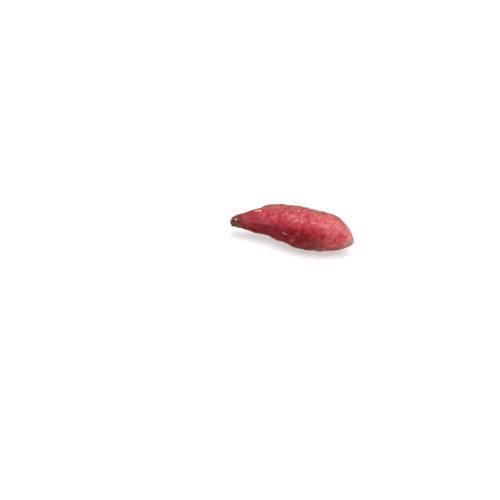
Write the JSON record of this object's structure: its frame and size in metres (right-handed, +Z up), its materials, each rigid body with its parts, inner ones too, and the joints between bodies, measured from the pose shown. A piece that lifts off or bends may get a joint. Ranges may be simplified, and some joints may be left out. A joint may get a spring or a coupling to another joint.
{
  "type": "sweet potato",
  "caption": "Whole raw sweet potato with a tapered crown neck, a plump bent body, shallow furrows and root scars, and a small tail nub, lying on its side.",
  "frame": {"origin": "on the plane that the root lies on, at the middle of its length and width", "axes": "+X along the root from the crown to the tail, +Z up as the root lies, +Y to the left of +X"},
  "size_m": [0.182, 0.063, 0.0594],
  "materials": {
    "skin": "satin raw skin, rose red with brown and cream root scars"
  },
  "bodies": {
    "root": {"sweet_potato": "skin"}
  },
  "joints": []
}
